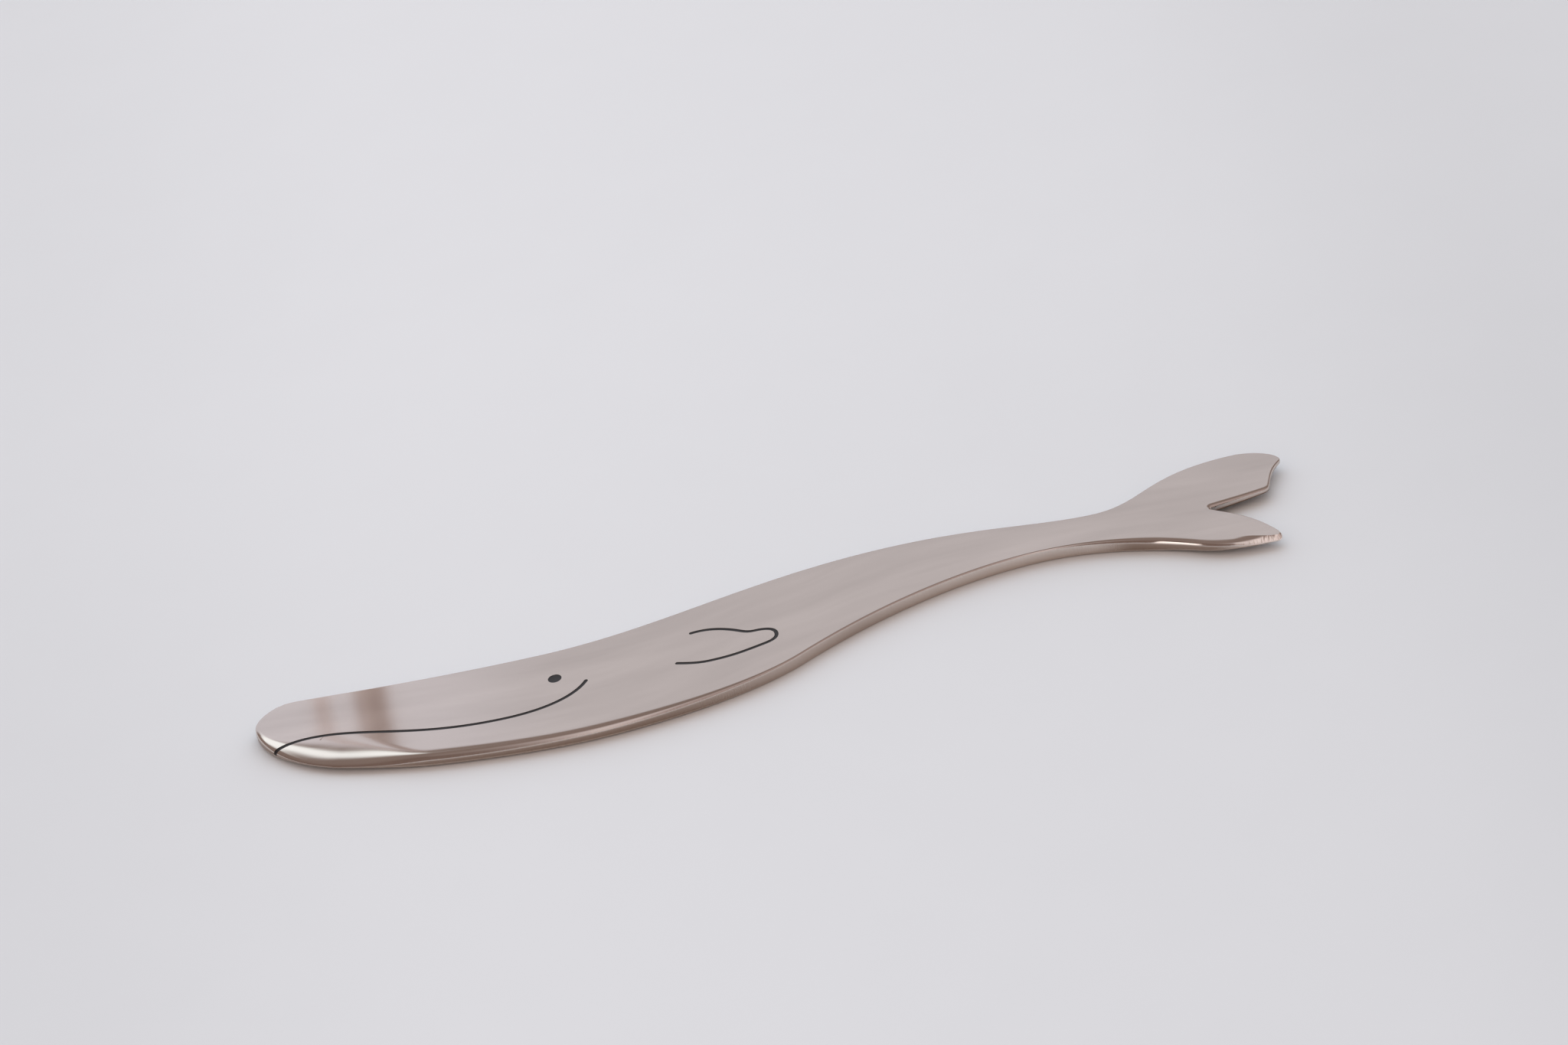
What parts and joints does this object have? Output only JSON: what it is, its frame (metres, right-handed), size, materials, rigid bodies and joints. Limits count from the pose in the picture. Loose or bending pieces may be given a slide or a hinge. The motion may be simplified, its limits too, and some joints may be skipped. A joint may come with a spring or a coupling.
{
  "type": "kids table knife",
  "caption": "Steel table knife for a child, cut in the outline of a whale with a forked fluke, a ground belly edge and black enamel mouth, eye and fin lines on its face.",
  "frame": {"origin": "centre of the outline's box, in the plane of the bare underside that lies on the table", "axes": "+X from the nose to the fluke, +Y from the belly to the back, +Z out of the face that carries the enamel"},
  "size_m": [0.169, 0.0368, 0.0022],
  "materials": {
    "steel": "satin",
    "enamel": "gloss"
  },
  "bodies": {
    "root": {"steel_blank": "steel", "mouth_enamel": "enamel", "eye_enamel": "enamel", "fin_enamel": "enamel"}
  },
  "joints": []
}
